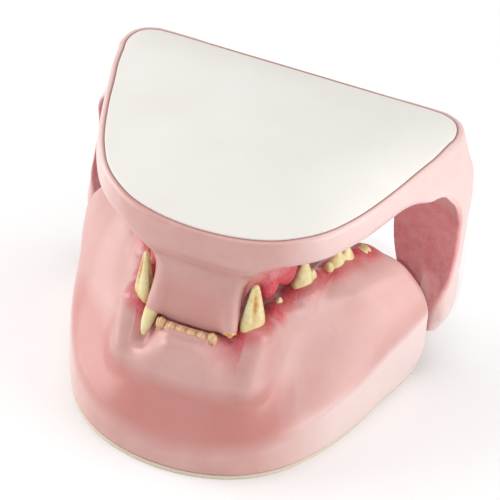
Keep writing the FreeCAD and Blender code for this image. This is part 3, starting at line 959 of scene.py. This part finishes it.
class Shader:
    """A node material built from short calls."""

    def __init__(self, name, **values):
        self.material = bpy.data.materials.new(name)
        self.material.use_nodes = True
        self.nodes, self.links = self.material.node_tree.nodes, self.material.node_tree.links
        self.surface = self.nodes["Principled BSDF"]
        for key, value in values.items():
            self.surface.inputs[key.replace("_", " ")].default_value = value
        self.place = self.nodes.new("ShaderNodeTexCoord").outputs["Object"]

    def link(self, output, key):
        self.links.new(output, self.surface.inputs[key])

    def noise(self, size_mm, detail=3.0, rough=0.55, distortion=0.0):
        """Noise whose features are about size_mm across, from 0 to 1."""
        node = self.nodes.new("ShaderNodeTexNoise")
        self.links.new(self.place, node.inputs["Vector"])
        node.inputs["Scale"].default_value = 1.0 / (size_mm * MM)
        node.inputs["Detail"].default_value = detail
        node.inputs["Roughness"].default_value = rough
        node.inputs["Distortion"].default_value = distortion
        return node.outputs["Fac"]

    def attribute(self, name):
        node = self.nodes.new("ShaderNodeAttribute")
        node.attribute_name = name
        return node.outputs["Fac"]

    def ramp(self, source, *stops):
        """Maps a number to colours at the given places."""
        node = self.nodes.new("ShaderNodeValToRGB")
        self.links.new(source, node.inputs["Fac"])
        stripes = node.color_ramp.elements
        while len(stripes) < len(stops):
            stripes.new(0.5)
        for stripe, (where, colour) in zip(stripes, stops):
            stripe.position = where
            stripe.color = (*colour, 1.0)
        return node.outputs["Color"]

    def range(self, source, from_low, from_high, to_low=0.0, to_high=1.0):
        node = self.nodes.new("ShaderNodeMapRange")
        self.links.new(source, node.inputs["Value"])
        for key, value in (("From Min", from_low), ("From Max", from_high),
                           ("To Min", to_low), ("To Max", to_high)):
            node.inputs[key].default_value = value
        return node.outputs["Result"]

    def maths(self, kind, a, b):
        node = self.nodes.new("ShaderNodeMath")
        node.operation = kind
        for socket, value in zip(node.inputs, (a, b)):
            if isinstance(value, (int, float)):
                socket.default_value = value
            else:
                self.links.new(value, socket)
        return node.outputs[0]

    def mix(self, factor, a, b):
        """Colour a where the factor is 0 and b where it is 1."""
        node = self.nodes.new("ShaderNodeMix")
        node.data_type = "RGBA"
        self.links.new(factor, node.inputs["Factor"])
        for key, value in (("A", a), ("B", b)):
            socket = [s for s in node.inputs if s.name == key and s.type == "RGBA"][0]
            if isinstance(value, tuple):
                socket.default_value = (*value, 1.0)
            else:
                self.links.new(value, socket)
        return [s for s in node.outputs if s.type == "RGBA"][0]

    def bump(self, height, strength, distance_mm, after=None):
        node = self.nodes.new("ShaderNodeBump")
        self.links.new(height, node.inputs["Height"])
        node.inputs["Strength"].default_value = strength
        node.inputs["Distance"].default_value = distance_mm * MM
        if after is not None:
            self.links.new(after, node.inputs["Normal"])
        return node.outputs["Normal"]


def linear(r, g, b):
    """A colour given in display values from 0 to 255."""
    parts = []
    for value in (r, g, b):
        share = value / 255.0
        parts.append(share / 12.92 if share <= 0.04045 else ((share + 0.055) / 1.055) ** 2.4)
    return tuple(parts)


def gum_material(name):
    s = Shader(name, IOR=1.47, Coat_Weight=0.22, Coat_Roughness=0.24)
    cloud = s.range(s.noise(9.0, 3.0), 0.3, 0.7)
    pink = s.mix(cloud, linear(198, 149, 143), linear(209, 162, 156))
    # Painted light: paler on the maxilla's flanks, the legs and the slab's rear, where the side
    # lamps fall.
    pink = s.mix(s.attribute("pale"), pink, linear(226, 203, 199))
    fleck = s.range(s.noise(1.1, 4.0, 0.7), 0.58, 0.78)
    pink = s.mix(s.maths("MULTIPLY", fleck, 0.35), pink, linear(203, 140, 134))
    red = s.mix(s.range(s.noise(0.7, 4.0), 0.3, 0.7), linear(212, 80, 92), linear(190, 54, 70))
    wander = s.range(s.noise(2.4, 3.0), 0.25, 0.75, 0.85, 1.15)
    # Painted shade: deeper pink in the front dish, on the side slopes and on the chin.
    pink = s.mix(s.attribute("blush"), pink, linear(192, 124, 117))
    pink = s.mix(s.attribute("seam"), pink, linear(150, 96, 90))
    # The red is inflamed gum at the bulges and tooth margins, and inside the legs' hollows painted
    # shade.
    factor = s.maths("MULTIPLY", s.attribute("redness"), wander)
    s.link(s.mix(s.range(factor, 0.05, 0.95), pink, red), "Base Color")
    s.link(s.range(s.noise(2.2, 4.0), 0.2, 0.8, 0.26, 0.40), "Roughness")
    wavy = s.bump(s.noise(3.4, 2.0), 0.25, 0.35)
    sore = s.maths("MULTIPLY", s.noise(1.4, 4.0), s.attribute("redness"))
    wavy = s.bump(sore, 0.8, 0.7, wavy)
    s.link(s.bump(s.noise(0.55, 3.0), 0.12, 0.10, wavy), "Normal")
    return s.material


def tooth_material():
    s = Shader("tooth_resin_stained", IOR=1.5, Coat_Weight=0.4, Coat_Roughness=0.12)
    height, groove = s.attribute("crown_height"), s.attribute("groove")
    enamel = s.ramp(height, (0.0, linear(220, 200, 132)), (0.45, linear(232, 222, 172)),
                    (1.0, linear(222, 206, 146)))
    streak = s.range(s.noise(1.3, 4.0, 0.6), 0.45, 0.72)
    enamel = s.mix(s.maths("MULTIPLY", streak, 0.45), enamel, linear(196, 160, 84))
    # The groove mark is stain on the upper canines and painted shade on the lower right canine's
    # stub.
    stain = s.maths("MULTIPLY", groove, s.range(s.noise(1.0, 4.0), 0.25, 0.62, 0.35, 1.0))
    enamel = s.mix(stain, enamel, linear(190, 132, 48))
    enamel = s.mix(s.attribute("tan"), enamel, linear(208, 160, 120))
    s.link(enamel, "Base Color")
    s.link(s.range(s.noise(0.8, 3.0), 0.2, 0.8, 0.22, 0.42), "Roughness")
    s.link(s.bump(s.noise(0.5, 3.0), 0.3, 0.08), "Normal")
    return s.material


def plain_material(name, cloud, tones, gloss, grain, **values):
    """Clouds of two near tones, an uneven gloss and, where it is given, a fine grain."""
    s = Shader(name, **values)
    cloud = s.range(s.noise(*cloud), 0.3, 0.7)
    s.link(s.mix(cloud, *[linear(*tone) for tone in tones]), "Base Color")
    patches, low, high = gloss
    patches = s.range(s.noise(*patches), 0.2, 0.8) if patches else cloud
    s.link(s.range(patches, 0.0, 1.0, low, high), "Roughness")
    if grain:
        size, strength, depth_mm = grain
        s.link(s.bump(s.noise(*size), strength, depth_mm), "Normal")
    return s.material


# ---- the model

def make_gum(jaw, field, material, **marks):
    """One jaw's gum, and the number that each mark gives for every point of it."""
    points, quads = surface_net(field)
    obj = mesh_object(jaw + "_gum_formed", points, quads)
    for name, mark in marks.items():
        paint(obj, name, mark(points))
    return place(obj, jaw, "gum_resin", material, jaw + "_gum_body")


def maxilla_redness(points):
    return 0.85 * redness(points, MAXILLA_SITES, MAXILLA_BULGES, MAXILLA_BULGE_RED_MM, 2.2, 5.5)


# Inflamed red at the bulges and tooth margins, and red painted shade inside the legs' hollows.
def mandible_redness(points):
    red = redness(points, MANDIBLE_SITES, MANDIBLE_BULGES, MANDIBLE_BULGE_RED_MM, 4.5, 4.5)
    return np.maximum(red, leg_hollow_painted_shade(points))


def no_seam(points):
    return 0.0 * points[:, 0]


def make_plates(plate_white, card_tan):
    outline = smooth_curve(mirrored(PLATE_OUTLINE))[:-1]
    plate = sheet_piece("mandible_plate_finished", outline, PLATE_LOW_Z, PLATE_TOP_Z, 0.3)
    place(plate, "mandible", "white_plate", plate_white, "mandible_base_plate")
    card = sheet_piece("maxilla_base_card", card_outline(), 0.0, CARD_TOP_Z, 0.25)
    place(card, "maxilla", "base_card", card_tan, "maxilla_base_plate")


def make_rod(steel):
    low, high = box_mm("hinge_rod")
    length, radius, edge = high[0] - low[0], 0.5 * (high[2] - low[2]), 0.4
    rod = turned_piece("hinge_rod_ground", [
        (0.0, radius - edge), (edge, radius), (length - edge, radius), (length, radius - edge),
    ], low[0])
    place(rod, "maxilla", "rod_steel", steel, "hinge_rod")


def make_bush_and_plug(side, sign, acetal):
    """The bush in the end of one leg and the disc that covers it from outside."""
    low, high = box_mm("hinge_bush_" + side)
    length, radius = high[0] - low[0], 0.5 * (high[2] - low[2])
    edge, bore = 0.2, 1.55
    bush = turned_piece("hinge_bush_%s_moulded" % side, [
        (0.0, bore + edge), (0.0, radius - edge), (edge, radius), (length - edge, radius),
        (length, radius - edge), (length, bore + edge), (length - edge, bore),
        (edge, bore), (0.0, bore + edge),
    ], low[0] if sign > 0 else high[0], sign)
    place(bush, "mandible", "bush_acetal", acetal, "hinge_bush_" + side)
    low, high = box_mm("hinge_plug_" + side)
    length = high[0] - low[0]
    plug = turned_piece("hinge_plug_%s_domed" % side, [
        (0.0, radius - edge), (edge, radius), (length - 0.35, radius),
        (length - 0.12, radius - 0.15), (length, radius - 0.45),
        (length - 0.1, 1.1), (length - 0.22, 0.9),
    ], low[0] if sign > 0 else high[0], sign)
    place(plug, "mandible", "bush_acetal", acetal, "hinge_plug_" + side)


GUM_STEP = 0.36
gum = gum_material("gum_resin_gloss")
teeth = tooth_material()
plate_white = plain_material(
    "white_plate_matt", (14.0, 4.0), ((221, 217, 211), (225, 221, 216)),
    ((2.0, 4.0), 0.42, 0.56), ((0.35, 3.0), 0.10, 0.05), IOR=1.46, Specular_IOR_Level=0.35)
card_tan = plain_material(
    "base_card_fibre", (0.6, 5.0, 0.7, 1.5), ((208, 192, 172), (224, 210, 194)),
    (None, 0.65, 0.85), ((0.4, 4.0), 0.35, 0.08), IOR=1.45, Specular_IOR_Level=0.3)
steel = plain_material(
    "rod_steel_ground", (2.5, 3.0, 0.5), ((200, 202, 204), (212, 213, 215)),
    (None, 0.24, 0.30), None, Metallic=1.0)
acetal = plain_material(
    "bush_acetal_satin", (1.5, 3.0), ((226, 222, 214), (234, 231, 224)),
    ((0.8, 3.0), 0.36, 0.5), ((0.3, 3.0), 0.1, 0.04), IOR=1.48)

make_gum("maxilla", maxilla_field(GUM_STEP), gum, redness=maxilla_redness, blush=basin_blush,
         pale=flank_pale, seam=no_seam)
make_gum("mandible", mandible_field(GUM_STEP), gum, redness=mandible_redness,
         blush=chin_blush, pale=leg_pale, seam=plate_seam)
for site in MAXILLA_SITES + MANDIBLE_SITES:
    make_tooth(site, teeth)
lower_canine("mandible_left_canine", -1, 1.0, teeth)
lower_canine("mandible_right_canine_stub", 1, 0.17, teeth)
make_plates(plate_white, card_tan)
make_rod(steel)
make_bush_and_plug("right", 1.0, acetal)
make_bush_and_plug("left", -1.0, acetal)


# ---- stage, light and camera

def make_floor():
    size = 4.0
    mesh = bpy.data.meshes.new("floor")
    corners = [(-size, -size, 0), (size, -size, 0), (size, size, 0), (-size, size, 0)]
    mesh.from_pydata(corners, [], [(0, 1, 2, 3)])
    obj = add_object("floor", mesh)
    s = Shader("floor_pale", Roughness=0.8, Base_Color=(0.92, 0.92, 0.92, 1.0))
    mesh.materials.append(s.material)


def add_light(kind, name, where, aim, power):
    """A light at one place, turned towards another."""
    light = bpy.data.lights.new(name, kind)
    light.energy = power
    obj = add_object(name, light)
    obj.location = where
    obj.rotation_euler = (Vector(aim) - Vector(where)).to_track_quat("-Z", "Y").to_euler()
    return light


def add_panel(name, where, size, power):
    middle = (0.0, 0.0, 0.03)
    light = add_light("AREA", name, where, middle, power)
    light.shape = "RECTANGLE"
    light.size, light.size_y = size


def make_lights():
    world = bpy.data.worlds.new("studio")
    world.use_nodes = True
    background = world.node_tree.nodes["Background"].inputs
    background["Color"].default_value = (1.0, 1.0, 1.0, 1.0)
    background["Strength"].default_value = 0.36
    bpy.context.scene.world = world
    add_panel("left", (-0.50, -0.10, 0.20), (0.50, 0.36), 2.2)
    add_panel("top", (0.06, 0.02, 0.64), (0.90, 0.80), 3.0)
    add_panel("front", (-0.06, -0.52, 0.11), (0.30, 0.12), 0.12)
    leg = add_light("SPOT", "leg", (0.13, -0.40, 0.36), (0.0365, 0.028, 0.031), 4.5)
    leg.spot_size = math.radians(5.4)
    leg.spot_blend = 1.0
    leg.shadow_soft_size = 0.01
    add_panel("right", (0.54, -0.02, 0.17), (0.50, 0.34), 1.8)


def make_camera():
    """A long lens at the right of the incisors, looking down, with the frame slightly rolled."""
    azimuth, elevation, roll = math.radians(18.43), math.radians(39.77), math.radians(5.155)
    target = Vector((12.48, REAR_Y - 60.74, 57.66)) * MM
    back = Vector((math.sin(azimuth) * math.cos(elevation),
                   -math.cos(azimuth) * math.cos(elevation), math.sin(elevation)))
    right = Vector((math.cos(azimuth), math.sin(azimuth), 0.0))
    up = back.cross(right)
    across = right * math.cos(roll) + up * math.sin(roll)
    upright = up * math.cos(roll) - right * math.sin(roll)
    camera = bpy.data.cameras.new("camera")
    camera.sensor_width, camera.lens = 36.0, 288.3
    camera.clip_start, camera.clip_end = 0.05, 20.0
    obj = add_object("camera", camera)
    turn = Matrix((across, upright, back)).transposed().to_4x4()
    obj.matrix_world = Matrix.Translation(target + back * 810.8 * MM) @ turn
    bpy.context.scene.camera = obj


make_floor()
make_lights()
make_camera()
bpy.context.scene.view_settings.view_transform = "Standard"
